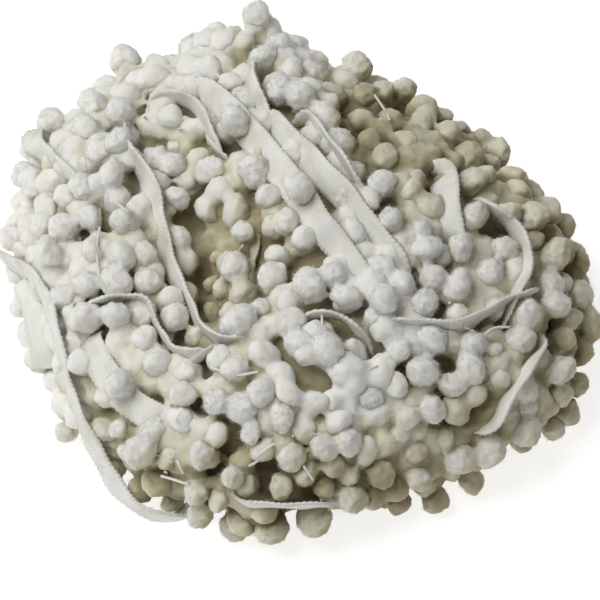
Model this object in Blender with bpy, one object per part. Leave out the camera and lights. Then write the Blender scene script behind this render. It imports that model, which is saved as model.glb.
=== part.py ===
"""Pompom fringe trim, one long length heaped loosely on a surface.

The heap is a flat-footed mound of wound trim. Its inner turns are one solid with the main
swells, rolls and hollows. Over it lie the outer runs of trim, each a narrow knitted strip
with its row of pompoms standing on short stems, and the bare loops of tape that ride up
between them. Blender units are metres, with +Z up and the origin on the flat underside.
The sizes and tables below are in millimetres and degrees.
"""

import math

import bmesh
import bpy
import numpy as np
from mathutils import Matrix, Vector
from mathutils.bvhtree import BVHTree

MM = 0.001

# Driving sizes of the trim.
POMPOM_RADIUS = 4.9
POMPOM_PITCH = 11.3
POMPOM_CLEARANCE = 0.4
STEM_WIDTH = 1.5
STEM_LENGTH = 1.0
STRIP_WIDTH = 4.4
STRIP_LIFT = 2.2
TAPE_WIDTH = 10.0
TAPE_THICKNESS = 1.2
TAPE_STEP = 5.0
FLOOR_GAP = 0.25

# Height of a pompom's centre above the wound core that its strip lies on.
SEAT_HEIGHT = STRIP_LIFT + TAPE_THICKNESS / 2 + STEM_LENGTH + POMPOM_RADIUS

# The wound core: its height, and its plan radius every 30 degrees from +X towards +Y.
CORE_HEIGHT = 50.0
CORE_SECTORS = 44
CORE_RINGS = 13
CORE_RADII = [84, 71, 62, 65, 80, 90, 84, 84, 86, 79, 79, 88]
# Columns: share of the plan radius, share of the height.
CORE_PROFILE = [
    (0.86, 0.00),
    (0.97, 0.16),
    (1.00, 0.34),
    (0.95, 0.54),
    (0.84, 0.73),
    (0.67, 0.87),
    (0.45, 0.95),
    (0.22, 0.99),
    (0.00, 1.00),
]
# Swells and hollows of the mound. Columns: x, y, spread, rise.
SWELLS = [
    (8, 22, 24, 8),
    (-66, 8, 24, 4),
    (44, -4, 20, 4),
    (-4, -58, 18, 5),
    (-38, 26, 13, -13),
    (-33, -4, 13, -18),
    (-32, -30, 13, -14),
    (22, 42, 11, -9),
    (56, -14, 12, -9),
    (-15, 76, 10, 16),
]
# Bulges of the mound's side, as the north tuft stands on. Columns: direction, spread, reach.
SPURS = [(26, 8, -4), (62, 10, 4), (101, 9, 12), (128, 8, 6), (172, 10, 3), (263, 14, 7), (335, 20, 5)]
# The inner turns show as low rolls that circle the main hollow.
ROLL_CENTRE = (-33, -8)
ROLL_SPACING = 21.0
ROLL_RISE = 1.5

# Runs and tapes are charted as (across, up) on a plane seen square on by someone who stands
# before the heap, or behind it, and looks down at it by this angle.
FRONT = (0, 60)
REAR = (180, 38)

# Runs of trim over the core. Each row of pompoms follows a smooth curve through its points.
FRONT_RUNS = {
    "west_rim": [(-94, 40), (-89, 50), (-83, 60), (-71, 65), (-59, 79)],
    "north_tuft": [(-34, 84), (-22, 88), (-14, 94), (-7, 86), (-4, 77)],
    "north_east_rim": [(4, 75), (19, 77), (34, 69), (42, 61), (53, 56), (64, 48)],
    "east_rim": [(66, 33), (77, 27), (85, 14), (92, 3), (96, -9), (93, -24)],
    "south_east_rim": [(89, -37), (76, -43), (63, -49), (53, -53), (38, -59), (17, -66)],
    "south_east_foot": [(59, -61), (45, -68), (32, -70)],
    "south_front": [(8, -72), (-9, -76), (-22, -75), (-33, -71)],
    "south_west_low": [(-74, -41), (-66, -49)],
    "south_west": [(-40, -64), (-51, -60), (-60, -50), (-66, -40)],
    "west_edge": [(-95, 21), (-86, 27), (-84, 15), (-83, 5), (-81, -6)],
    "west_outer": [(-88, 40), (-83, 31), (-76, 22), (-76, 11), (-72, -1), (-73, -10)],
    "west_inner": [(-77, 48), (-71, 38), (-68, 27), (-67, 16)],
    "west_crest": [(-70, 57), (-65, 47), (-61, 37), (-58, 26), (-59, 15), (-61, 4), (-61, -6)],
    "hollow_north": [(-60, 66), (-52, 58), (-50, 47), (-41, 35), (-32, 25)],
    "hollow_east": [(-37, 52), (-34, 43), (-24, 37)],
    "hollow_west": [(-51, 6), (-42, -6), (-47, -19), (-39, -31)],
    "south_west_mass": [(-57, -15), (-59, -28), (-50, -35), (-43, -44), (-46, -54)],
    "north_crest": [(-32, 75), (-25, 73), (-18, 67), (-21, 59)],
    "crown_rim": [(-6, 69), (1, 68), (-5, 57)],
    "north_east_shade": [(12, 66), (22, 66), (27, 58), (18, 55), (8, 57)],
    "east_crest": [(38, 50), (48, 48), (58, 44), (63, 34)],
    "east_mass": [(14, 35), (26, 40), (36, 35), (41, 25), (43, 15), (45, 5), (42, -4)],
    "east_hollow": [(67, 18), (64, 8), (65, -3), (56, 3)],
    "east_outer": [(83, 4), (86, -6), (76, -5), (72, -15)],
    "east_flank": [(90, -1), (89, -11), (83, -16)],
    "east_foot": [(87, -22), (81, -30), (74, -28), (66, -34)],
    "south_east_mass": [(58, -14), (57, -24), (51, -33), (41, -38)],
    "south_east_inner": [(43, -14), (41, -25), (34, -34)],
    "hollow_floor": [(-27, 15), (-28, 6), (-28, -3), (-35, -11)],
    "hollow_rim": [(-19, 23), (-21, 12), (-19, 1), (-23, -9), (-34, -20)],
    "middle": [(-14, 42), (-11, 32), (-6, 22), (3, 17), (11, 12), (8, 3), (-5, 3)],
    "middle_link": [(11, -1), (14, -10)],
    "middle_west": [(-19, -15), (-8, -18)],
    "middle_east": [(33, 5), (23, 1), (24, -9), (33, -16)],
    "middle_south": [(-3, -9), (5, -16), (16, -17), (14, -27), (3, -29), (-9, -30), (-20, -25)],
    "south_roll_west": [(-26, -34), (-28, -43), (-31, -53), (-22, -60), (-13, -65), (-3, -62)],
    "south_roll": [(-17, -38), (-15, -46), (-4, -42), (-3, -54)],
    "south_roll_east": [(11, -36), (22, -34), (25, -44), (16, -49), (8, -54)],
    "south_east_slope": [(27, -54), (38, -49), (50, -44)],
    "south_middle": [(18, -58), (8, -63)],
    "south_east_low": [(75, -39), (64, -43)],
}
REAR_RUNS = {
    "rear_foot": [(-76, -7), (-64, -18), (-33, -31), (0, -38), (41, -39), (77, -25)],
    "rear_low": [(-78, 4), (-67, -10), (-35, -24), (0, -32), (44, -34), (64, -28)],
    "rear_high": [(52, -14), (41, -20), (30, -22), (18, -20), (6, -19), (-7, -14)],
    "rear_slope": [(-72, 12), (-61, 8), (-50, 6), (-39, 10), (-36, 21)],
}

# Loops of tape that ride above the core, with no pompom over them. Columns: height of the
# tape's middle above the core, turn about its own length at each end (0 lies flat on the
# heap, 90 stands on edge), and the charted route.
TAPES = {
    "tape_left_edge": (
        11.0, 70, 75,
        [(-99, 13), (-92, 9), (-87, 0), (-82, -13), (-78, -27), (-73, -41), (-67, -55),
         (-58, -66), (-44, -71), (-31, -73)],
    ),
    "tape_left_fold": (9.0, 20, 0, [(-95, 4), (-92, -6), (-90, -16), (-87, -23)]),
    "tape_south_west": (8.0, 0, 0, [(-72, -14), (-65, -25), (-57, -35), (-47, -40)]),
    "tape_hollow": (
        7.0, 60, 30,
        [(-58, 53), (-53, 43), (-49, 32), (-47, 21), (-42, 9), (-37, 0)],
    ),
    "tape_north_west": (6.5, 20, 20, [(-57, 72), (-49, 75), (-40, 79)]),
    "tape_hollow_rim": (6.0, 50, 55, [(-46, 68), (-39, 68), (-34, 61), (-31, 52), (-29, 44)]),
    "tape_crown_west": (10.0, 10, 5, [(-27, 66), (-20, 59), (-13, 51), (-6, 44), (0, 36)]),
    "tape_crown": (6.5, 0, 0, [(-4, 54), (3, 47), (9, 40)]),
    "tape_crown_east": (7.0, -60, -60, [(4, 57), (11, 49), (16, 42)]),
    "tape_south_slope": (9.5, 0, 10, [(3, 29), (11, 22), (17, 14), (21, 6)]),
    "tape_east_slope": (6.0, 0, 0, [(19, 29), (26, 22), (32, 14)]),
    "tape_east_upright": (8.5, 15, -15, [(49, 38), (49, 30), (51, 21)]),
    "tape_east_loop": (8.5, 75, 75, [(61, 27), (69, 25), (73, 17), (73, 8), (69, 0)]),
    "tape_east_level": (8.0, 35, 55, [(33, -7), (42, -9), (50, -8), (59, -6), (67, -4)]),
}


def clear_scene():
    for obj in list(bpy.data.objects):
        bpy.data.objects.remove(obj, do_unlink=True)


def cloth_material(name, colour, roughness):
    material = bpy.data.materials.new(name)
    material.use_nodes = True
    shader = material.node_tree.nodes["Principled BSDF"]
    shader.inputs["Base Color"].default_value = (*colour, 1.0)
    shader.inputs["Roughness"].default_value = roughness
    shader.inputs["Metallic"].default_value = 0.0
    return material


def smooth_curve(points, step):
    """Points about one step apart along a Catmull-Rom curve through the given points."""
    points = [Vector(p) for p in points]
    padded = [2 * points[0] - points[1], *points, 2 * points[-1] - points[-2]]
    fine = []
    for a, b, c, d in zip(padded, padded[1:], padded[2:], padded[3:]):
        for share in np.linspace(0.0, 1.0, 16, endpoint=False):
            pull = (c - a) * share + (2 * a - 5 * b + 4 * c - d) * share**2
            fine.append(b + 0.5 * (pull + (3 * b - 3 * c + d - a) * share**3))
    fine.append(points[-1])
    lengths = [(q - p).length for p, q in zip(fine, fine[1:])]
    places = np.concatenate([[0.0], np.cumsum(lengths)])
    count = max(1, round(places[-1] / step))
    wanted = np.linspace(0.0, places[-1], count + 1)
    columns = [np.interp(wanted, places, [p[axis] for p in fine]) for axis in range(len(fine[0]))]
    return [Vector(values) for values in zip(*columns)]


def plan_radius(angle):
    """The core's plan radius at an angle from +X, eased between the tabled directions."""
    sector = 2 * math.pi / len(CORE_RADII)
    place = (angle % (2 * math.pi)) / sector
    before = int(place) % len(CORE_RADII)
    share = place - int(place)
    eased = share * share * (3 - 2 * share)
    after = CORE_RADII[(before + 1) % len(CORE_RADII)]
    radius = CORE_RADII[before] * (1 - eased) + after * eased
    for direction, spread, reach in SPURS:
        off = (math.degrees(angle) - direction + 180) % 360 - 180
        radius += reach * math.exp(-((off / spread) ** 2) / 2)
    return radius


def rise_at(x, y):
    """How far swells, hollows and rolls lift the mound over a point of its plan."""
    rise = 0.0
    for swell_x, swell_y, spread, height in SWELLS:
        distance = math.hypot(x - swell_x, y - swell_y)
        rise += height * math.exp(-((distance / spread) ** 2) / 2)
    turn = math.hypot(x - ROLL_CENTRE[0], y - ROLL_CENTRE[1]) / ROLL_SPACING
    return rise + ROLL_RISE * math.cos(2 * math.pi * turn)


def wound_core(material):
    """The inner turns: a mound with a flat foot, bulging sides and a hollowed top."""
    profile = smooth_curve(CORE_PROFILE, 1e-3)
    picks = np.linspace(0, len(profile) - 1, CORE_RINGS + 1).round().astype(int)
    bm = bmesh.new()
    rings = []
    for out_share, up_share in (profile[pick] for pick in picks[:-1]):
        ring = []
        for sector in range(CORE_SECTORS):
            angle = 2 * math.pi * sector / CORE_SECTORS
            radius = out_share * plan_radius(angle)
            x, y = radius * math.cos(angle), radius * math.sin(angle)
            z = CORE_HEIGHT * up_share + up_share * rise_at(x, y)
            ring.append(bm.verts.new((x, y, z)))
        rings.append(ring)
    summit = bm.verts.new((0, 0, CORE_HEIGHT + rise_at(0, 0)))
    for low, high in zip(rings, rings[1:]):
        for here in range(CORE_SECTORS):
            there = (here + 1) % CORE_SECTORS
            bm.faces.new((low[here], low[there], high[there], high[here]))
    for here in range(CORE_SECTORS):
        bm.faces.new((rings[-1][here], rings[-1][(here + 1) % CORE_SECTORS], summit))
    bm.faces.new(list(reversed(rings[0])))
    bmesh.ops.triangulate(bm, faces=bm.faces)
    surface = BVHTree.FromBMesh(bm)
    return add_solid("wound_core", bm, material), surface


def add_solid(name, bm, material):
    """A mesh object from a bmesh drawn in millimetres, at its place in metres."""
    bmesh.ops.transform(bm, matrix=Matrix.Scale(MM, 4), verts=bm.verts)
    mesh = bpy.data.meshes.new(name)
    bm.to_mesh(mesh)
    bm.free()
    mesh.materials.append(material)
    mesh.shade_smooth()
    obj = bpy.data.objects.new(name, mesh)
    bpy.context.scene.collection.objects.link(obj)
    return obj


def chart_axes(side):
    """Unit vectors across and up a chart, and the line of sight into it."""
    azimuth, pitch = (math.radians(angle) for angle in side)
    turned = Matrix.Rotation(azimuth, 3, "Z")
    across = turned @ Vector((1, 0, 0))
    up = turned @ Vector((0, math.sin(pitch), math.cos(pitch)))
    sight = turned @ Vector((0, math.cos(pitch), -math.sin(pitch)))
    return across, up, sight


def core_point(surface, across_by, up_by, axes):
    """Where a line of sight meets the core, or comes nearest to it."""
    across, up, sight = axes
    start = across * across_by + up * up_by - sight * 200
    hit = surface.ray_cast(start, sight)
    if hit[0] is not None:
        return hit[0]
    steps = [start + sight * travel for travel in range(60, 300, 4)]
    nearest = min((surface.find_nearest(step) for step in steps), key=lambda found: found[3])
    return nearest[0]


def seat_under(surface, point):
    """The core's nearest point below a point in the open, and the direction out to it."""
    base, normal, _, distance = surface.find_nearest(point)
    outward = point - base
    if outward.dot(normal) < 0 or distance < 0.5:
        outward = normal
    return base, outward.normalized()


def charted(surface, across_by, up_by, axes, height):
    """A point at a height over the core that shows at a place on the chart."""
    across, up, _ = axes
    aim_across, aim_up = across_by, up_by
    for _ in range(6):
        base = core_point(surface, aim_across, aim_up, axes)
        normal = surface.find_nearest(base)[1]
        shown = base + normal * height
        aim_across += 0.6 * (across_by - shown.dot(across))
        aim_up += 0.6 * (up_by - shown.dot(up))
    return shown


def reseated(surface, point, height):
    """The point moved to its full height over the core, and off the floor."""
    base, outward = seat_under(surface, point)
    moved = base + outward * height
    moved.z = max(moved.z, POMPOM_RADIUS + FLOOR_GAP)
    return moved


def row_of_pompoms(surface, chart, side):
    """Pompom centres one pitch apart along a charted run."""
    axes = chart_axes(side)
    shown = [charted(surface, *point, axes, SEAT_HEIGHT) for point in chart]
    return [reseated(surface, p, SEAT_HEIGHT) for p in smooth_curve(shown, POMPOM_PITCH)]


def tape_rings(surface, lift, turn_start, turn_end, route):
    """Middle, width direction and face direction of a tape, ring by ring."""
    axes = chart_axes(FRONT)
    middles = smooth_curve([charted(surface, *point, axes, lift) for point in route], TAPE_STEP)
    rings = []
    for place, middle in enumerate(middles):
        ahead = middles[min(place + 1, len(middles) - 1)]
        along = (ahead - middles[max(place - 1, 0)]).normalized()
        outward = seat_under(surface, middle)[1]
        share = place / (len(middles) - 1)
        turn = math.radians(turn_start + (turn_end - turn_start) * share)
        across = Matrix.Rotation(turn, 3, along) @ outward.cross(along).normalized()
        middle.z = max(middle.z, abs(across.z) * TAPE_WIDTH / 2 + TAPE_THICKNESS / 2 + FLOOR_GAP)
        rings.append((middle, across, along.cross(across)))
    return rings


def spread_apart(surface, rows, tape_points):
    """Pompom centres moved sideways over the core until each clears its neighbours."""
    centres = [spot for row in rows for spot in row]
    ends = np.cumsum([len(row) for row in rows])
    linked = np.array([place for place in range(1, len(centres)) if place not in ends])
    bends = np.array([place for place in linked[:-1] if place + 1 in linked]) - 1
    apart = 2 * POMPOM_RADIUS + POMPOM_CLEARANCE
    off_tape = POMPOM_RADIUS + TAPE_WIDTH / 4 + POMPOM_CLEARANCE
    home = np.array(centres)
    spots = home.copy()
    tape = np.array(tape_points)
    for _ in range(150):
        push = 0.04 * (home - spots)
        gap = spots[:, None] - spots[None]
        distance = np.linalg.norm(gap, axis=2) + np.eye(len(spots)) * 1e6
        short = np.clip(apart * 1.01 - distance, 0, None)
        push += (gap / distance[..., None] * short[..., None]).sum(axis=1) * 0.45
        gap = spots[:, None] - tape[None]
        distance = np.linalg.norm(gap, axis=2)
        short = np.clip(off_tape - distance, 0, None)
        push += (gap / distance[..., None] * short[..., None]).sum(axis=1) * 0.6
        stride = spots[linked] - spots[linked - 1]
        length = np.linalg.norm(stride, axis=1, keepdims=True)
        pull = stride / length * np.clip(length - POMPOM_PITCH * 1.1, 0, None) * 0.3
        push[linked] -= pull
        push[linked - 1] += pull
        middles = spots[1:-1][bends] * -1 + (spots[:-2][bends] + spots[2:][bends]) / 2
        push[1:-1][bends] += middles * 0.05
        spots += push
        spots = np.array([reseated(surface, Vector(spot), SEAT_HEIGHT) for spot in spots])
    spots = [Vector(spot) for spot in spots]
    return [spots[end - len(row) : end] for row, end in zip(rows, ends)]


def strip_ring(bm, middle, across, outward, width):
    """Four corners of a strip's cross-section, counter-clockwise looking along the strip."""
    half_width, half_thickness = across * width / 2, outward * TAPE_THICKNESS / 2
    corners = [
        middle - half_width + half_thickness,
        middle + half_width + half_thickness,
        middle + half_width - half_thickness,
        middle - half_width - half_thickness,
    ]
    return [bm.verts.new(corner) for corner in corners]


def join_rings(bm, low, high, sides):
    for side in sides:
        after = (side + 1) % 4
        bm.faces.new((low[side], high[side], high[after], low[after]))


def ball_faces():
    """Faces of a 32-sided ball of unit radius. One is square to -Z with a corner towards -Y."""
    faces = []
    for octant in range(8):
        signs = [1 - 2 * (octant >> axis & 1) for axis in range(3)]
        corners = [Vector([signs[axis] * (axis == corner) for axis in range(3)]) for corner in range(3)]
        if signs[0] * signs[1] * signs[2] < 0:
            corners.reverse()
        a, b, c = corners
        ab, bc, ca = (a + b).normalized(), (b + c).normalized(), (c + a).normalized()
        faces += [(a, ab, ca), (ab, b, bc), (ca, bc, c), (ab, bc, ca)]
    down = Vector((1, 1, 1)).rotation_difference(Vector((0, 0, -1))).to_matrix()
    corner = down @ Vector((1, 1, 0))
    back = Matrix.Rotation(-math.pi / 2 - math.atan2(corner.y, corner.x), 3, "Z") @ down
    return [tuple(back @ corner for corner in face) for face in faces]


def add_pompom(bm, root_face, centre, ball):
    """A ball on a stem that grows out of the middle of a strip's face."""
    a, b, c, d = root_face
    root = (a.co + b.co + c.co + d.co) / 4
    upward = (centre - root).normalized()
    forward = ((c.co + d.co) - (a.co + b.co)).normalized()
    side = forward.cross(upward).normalized()
    turned = Matrix((side, upward.cross(side), upward)).transposed()
    corners = {}
    opening = None
    for face in ball:
        verts = []
        for corner in face:
            key = tuple(round(value, 3) for value in corner)
            if key not in corners:
                corners[key] = bm.verts.new(centre + turned @ corner * POMPOM_RADIUS)
            verts.append(corners[key])
        if sum(corner.z for corner in face) < -2.4:
            opening = verts
        else:
            bm.faces.new(verts)
    opening.reverse()
    backward = [(vert.co - centre).dot(turned.col[1]) for vert in opening]
    first = backward.index(min(backward))
    opening = opening[first:] + opening[:first]
    stem = []
    for vert in opening:
        away = vert.co - centre
        away -= away.project(upward)
        stem.append(bm.verts.new(root + away.normalized() * STEM_WIDTH / 2))
    e, f, g = stem
    for face in ((a, b, e), (b, f, e), (b, c, f), (c, d, g), (c, g, f), (d, a, g), (a, e, g)):
        bm.faces.new(face)
    for here in range(3):
        after = (here + 1) % 3
        bm.faces.new((stem[here], stem[after], opening[after], opening[here]))


def run_of_trim(name, surface, centres, ball, material):
    """One run: a strip over the core with a pompom standing on each of its lengths."""
    seats = [seat_under(surface, centre) for centre in centres]
    middles = [base + outward * STRIP_LIFT for base, outward in seats]
    joints = []
    for (base, outward), (next_base, next_outward) in zip(seats, seats[1:]):
        found = surface.find_nearest((base + next_base) / 2)[0]
        joints.append((found, (outward + next_outward).normalized()))
    joints = [found + outward * STRIP_LIFT for found, outward in joints]
    for place, (joint, ahead) in enumerate(zip(joints, joints[1:]), 1):
        sag = (middles[place] - (joint + ahead) / 2).dot(seats[place][1])
        joint += seats[place][1] * max(sag, 0.0)
        ahead += seats[place][1] * max(sag, 0.0) / 2
    start = middles[0] + (middles[0] - joints[0]).normalized() * STRIP_WIDTH / 2
    end = middles[-1] + (middles[-1] - joints[-1]).normalized() * STRIP_WIDTH / 2
    joints = [start, *joints, end]
    bm = bmesh.new()
    rings = []
    places = [start, *middles, end]
    for before, joint, ahead in zip(places, joints, places[1:]):
        along = (ahead - before).normalized()
        outward = seat_under(surface, joint)[1]
        across = along.cross(outward).normalized()
        rings.append(strip_ring(bm, joint, across, across.cross(along), STRIP_WIDTH))
    for place, (low, high) in enumerate(zip(rings, rings[1:])):
        join_rings(bm, low, high, (1, 2, 3))
        add_pompom(bm, (low[0], low[1], high[1], high[0]), centres[place], ball)
    bm.faces.new(rings[0])
    bm.faces.new(list(reversed(rings[-1])))
    bmesh.ops.recalc_face_normals(bm, faces=bm.faces)
    return add_solid(name, bm, material)


def loop_of_tape(name, rings, material):
    bm = bmesh.new()
    sections = [strip_ring(bm, middle, across, face, TAPE_WIDTH) for middle, across, face in rings]
    for low, high in zip(sections, sections[1:]):
        join_rings(bm, low, high, range(4))
    bm.faces.new(sections[0])
    bm.faces.new(list(reversed(sections[-1])))
    bmesh.ops.recalc_face_normals(bm, faces=bm.faces)
    return add_solid(name, bm, material)


def main():
    clear_scene()
    pile = cloth_material("pompom_pile", (0.86, 0.85, 0.80), 0.95)
    knit = cloth_material("knitted_tape", (0.88, 0.88, 0.84), 0.80)
    turns = cloth_material("wound_turns", (0.70, 0.68, 0.58), 0.95)
    _, surface = wound_core(turns)
    tapes = {name: tape_rings(surface, *row) for name, row in TAPES.items()}
    tape_points = []
    for rings in tapes.values():
        for middle, across, _ in rings:
            tape_points += [middle + across * TAPE_WIDTH * share for share in (-0.33, 0.0, 0.33)]
    rows = {name: row_of_pompoms(surface, chart, FRONT) for name, chart in FRONT_RUNS.items()}
    rows |= {name: row_of_pompoms(surface, chart, REAR) for name, chart in REAR_RUNS.items()}
    spread = spread_apart(surface, list(rows.values()), tape_points)
    ball = ball_faces()
    for name, centres in zip(rows, spread):
        run_of_trim("run_" + name, surface, centres, ball, pile)
    for name, rings in tapes.items():
        loop_of_tape(name, rings, knit)


main()
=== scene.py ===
import math

import bmesh
import bpy
import numpy as np
from mathutils import Matrix, Vector
from mathutils.bvhtree import BVHTree


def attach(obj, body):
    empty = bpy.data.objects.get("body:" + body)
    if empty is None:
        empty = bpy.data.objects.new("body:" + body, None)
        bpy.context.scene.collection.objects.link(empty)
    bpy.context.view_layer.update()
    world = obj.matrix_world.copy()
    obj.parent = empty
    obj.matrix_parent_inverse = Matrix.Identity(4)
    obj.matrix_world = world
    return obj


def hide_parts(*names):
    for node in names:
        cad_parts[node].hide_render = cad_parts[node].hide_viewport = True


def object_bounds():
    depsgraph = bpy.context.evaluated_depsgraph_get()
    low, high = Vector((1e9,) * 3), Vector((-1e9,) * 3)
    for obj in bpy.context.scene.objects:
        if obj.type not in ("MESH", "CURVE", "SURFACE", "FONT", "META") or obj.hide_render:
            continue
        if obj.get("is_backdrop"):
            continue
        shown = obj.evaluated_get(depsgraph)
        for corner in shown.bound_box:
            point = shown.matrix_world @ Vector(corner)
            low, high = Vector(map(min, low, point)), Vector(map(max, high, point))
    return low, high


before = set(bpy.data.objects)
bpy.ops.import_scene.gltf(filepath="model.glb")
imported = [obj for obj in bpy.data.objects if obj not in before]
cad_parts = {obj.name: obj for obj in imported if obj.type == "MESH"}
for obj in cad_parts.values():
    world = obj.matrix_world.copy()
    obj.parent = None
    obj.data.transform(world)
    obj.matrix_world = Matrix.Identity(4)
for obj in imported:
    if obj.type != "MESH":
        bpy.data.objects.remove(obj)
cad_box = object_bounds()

# The studio: a pale floor, soft light from the upper left and a long lens that looks down
# on the heap from in front.
MM = 0.001
FLOOR_COLOUR = (0.6, 0.6, 0.6, 1.0)
FLOOR_GLOW = 0.74
SKY_COLOUR = (1.0, 0.97, 0.92, 1.0)
SKY_STRENGTH = 0.14
LIGHT_AIM = Vector((0, 0, 0.03))
LENS_LENGTH = 432
SENSOR_WIDTH = 36
VIEW_PITCH = math.radians(60)
VIEW_TARGET = Vector((0.0, -17.0, 30.0))
VIEW_DISTANCE = 2400.0

bpy.ops.object.select_all(action="DESELECT")
bpy.ops.mesh.primitive_plane_add(size=8.0, location=(0, 0, -0.0004))
floor = bpy.context.object
floor.name = "studio_floor"
floor_paint = bpy.data.materials.new("floor_paint")
floor_paint.use_nodes = True
paint = floor_paint.node_tree.nodes["Principled BSDF"]
paint.inputs["Base Color"].default_value = FLOOR_COLOUR
paint.inputs["Roughness"].default_value = 0.9
paint.inputs["Specular IOR Level"].default_value = 0.1
paint.inputs["Emission Color"].default_value = (1.0, 1.0, 1.0, 1.0)
paint.inputs["Emission Strength"].default_value = FLOOR_GLOW
floor.data.materials.append(floor_paint)
floor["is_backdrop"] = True

sight = Vector((0, math.cos(VIEW_PITCH), -math.sin(VIEW_PITCH)))
chart_up = Vector((0, math.sin(VIEW_PITCH), math.cos(VIEW_PITCH)))
eye = VIEW_TARGET - sight * VIEW_DISTANCE
bpy.ops.object.camera_add(location=eye * MM, rotation=(math.pi / 2 - VIEW_PITCH, 0, 0))
camera = bpy.context.object
camera.data.lens = LENS_LENGTH
camera.data.sensor_width = SENSOR_WIDTH
camera.data.clip_end = 50
bpy.context.scene.camera = camera

for name, place, size, energy, colour in (
    ("key_light", (-0.58, 0.05, 1.15), 0.9, 12.6, (1.0, 0.998, 0.985)),
    ("fill_light", (-0.1, -1.0, 1.5), 1.2, 1.5, (1.0, 0.97, 0.92)),
):
    bpy.ops.object.light_add(type="AREA", location=place)
    lamp = bpy.context.object
    lamp.name = name
    lamp.data.size = size
    lamp.data.energy = energy
    lamp.data.color = colour
    lamp.rotation_euler = (LIGHT_AIM - Vector(place)).to_track_quat("-Z", "Y").to_euler()
sky = bpy.data.worlds.new("studio_sky")
sky.use_nodes = True
sky.node_tree.nodes["Background"].inputs["Color"].default_value = SKY_COLOUR
sky.node_tree.nodes["Background"].inputs["Strength"].default_value = SKY_STRENGTH
bpy.context.scene.world = sky
bpy.context.scene.view_settings.view_transform = "Standard"

# Bare loops of the knitted heading tape: 10 mm wide, ribbed across and beaded along both
# edges. They stand on edge, fold over and dive back under the pompoms.
TAPE_WIDTH = 10.0
TAPE_THICKNESS = 0.7
TAPE_COLUMNS = 8
TAPE_CUP = 0.5
TAPE_RIPPLE = 0.25
RIB_PITCH = 0.95
BEAD_PITCH = 1.8
BEAD_REACH = 0.35
BEAD_HEIGHT = 0.3
DIVE_LENGTH = 9.0
TAPE_SHADE = (0.70, 0.685, 0.60, 1.0)
TAPE_LIGHT = (0.82, 0.82, 0.79, 1.0)
# Painted shade for the low parts of the knit.
TAPE_HOLE_SHADE = (0.90, 0.89, 0.85, 1.0)

core = bmesh.new()
core.from_mesh(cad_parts["wound_core"].data)
bmesh.ops.remove_doubles(core, verts=core.verts, dist=0.00001)
bmesh.ops.scale(core, vec=(1000, 1000, 1000), verts=core.verts)
surface = BVHTree.FromBMesh(core)
core.free()


def smooth_curve(points, step):
    """Places about one step apart along a smooth curve through the given points."""
    points = [np.array(p, float) for p in points]
    ends = [2 * points[0] - points[1], *points, 2 * points[-1] - points[-2]]
    fine = []
    for a, b, c, d in zip(ends, ends[1:], ends[2:], ends[3:]):
        for share in np.linspace(0.0, 1.0, 16, endpoint=False):
            pull = (c - a) * share + (2 * a - 5 * b + 4 * c - d) * share**2
            fine.append(b + 0.5 * (pull + (3 * b - 3 * c + d - a) * share**3))
    fine = np.array([*fine, points[-1]])
    lengths = np.linalg.norm(np.diff(fine[:, :3], axis=0), axis=1)
    places = np.concatenate([[0.0], np.cumsum(lengths)])
    count = max(2, round(places[-1] / step))
    wanted = np.linspace(0.0, places[-1], count + 1)
    columns = [np.interp(wanted, places, fine[:, axis]) for axis in range(fine.shape[1])]
    return np.array(columns).T, places[-1]


def seat_under(point):
    """The inner turns' nearest place under a point, and the direction out to it."""
    base, normal, _, distance = surface.find_nearest(Vector(point))
    outward = Vector(point) - base
    if outward.dot(normal) < 0 or distance < 0.5:
        outward = normal
    return base, outward.normalized()


def along_ray(ray, step):
    """Points one step apart on the stretch of a ray that crosses the heap."""
    return [eye + ray * travel for travel in range(2300, 2520, step)]


def shown_at(across, up, height):
    """A point at a height over the inner turns that shows at a place of the front view."""
    aim_across, aim_up = across, up
    for _ in range(7):
        through = VIEW_TARGET + Vector((aim_across, 0, 0)) + chart_up * aim_up
        ray = (through - eye).normalized()
        hit = surface.ray_cast(eye, ray)
        if hit[0] is None:
            hit = min((surface.find_nearest(step) for step in along_ray(ray, 4)), key=lambda found: found[3])
        normal = surface.find_nearest(hit[0])[1]
        point = hit[0] + normal * height
        away = point - eye
        scale = VIEW_DISTANCE / away.dot(sight)
        error_across, error_up = across - away.x * scale, up - away.dot(chart_up) * scale
        aim_across += 0.6 * error_across
        aim_up += 0.6 * error_up
    if math.hypot(error_across, error_up) > 1.0:
        ray = (VIEW_TARGET + Vector((across, 0, 0)) + chart_up * up - eye).normalized()
        point = min(along_ray(ray, 2), key=lambda step: abs(surface.find_nearest(step)[3] - height))
    return point


def tube(rings):
    """Vertices and faces of a tube through rings of points, with its ends closed."""
    count, sides = rings.shape[:2]
    faces = []
    for ring in range(count - 1):
        low, high = ring * sides, (ring + 1) * sides
        for side in range(sides):
            after = (side + 1) % sides
            faces.append((low + side, low + after, high + after, high + side))
    faces.append(tuple(reversed(range(sides))))
    faces.append(tuple(range((count - 1) * sides, count * sides)))
    return rings.reshape(-1, 3), faces


def joined(parts):
    """The vertices and faces of several parts as those of one mesh."""
    verts, faces, offset = [], [], 0
    for part_verts, part_faces in parts:
        verts.append(part_verts)
        faces.extend([tuple(corner + offset for corner in face) for face in part_faces])
        offset += len(part_verts)
    return np.concatenate(verts), faces


def add_mesh(name, verts, faces, material):
    """A piece from points in millimetres, with outward faces, at its place in metres."""
    verts = np.array(verts, float)
    verts[:, 2] = np.maximum(verts[:, 2], 0.15)
    mesh = bpy.data.meshes.new(name)
    mesh.from_pydata((verts * MM).tolist(), [], faces)
    bm = bmesh.new()
    bm.from_mesh(mesh)
    bmesh.ops.recalc_face_normals(bm, faces=bm.faces)
    bm.to_mesh(mesh)
    bm.free()
    mesh.materials.append(material)
    mesh.shade_smooth()
    piece = bpy.data.objects.new(name, mesh)
    bpy.context.scene.collection.objects.link(piece)
    return piece


tape_marks = []


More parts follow.
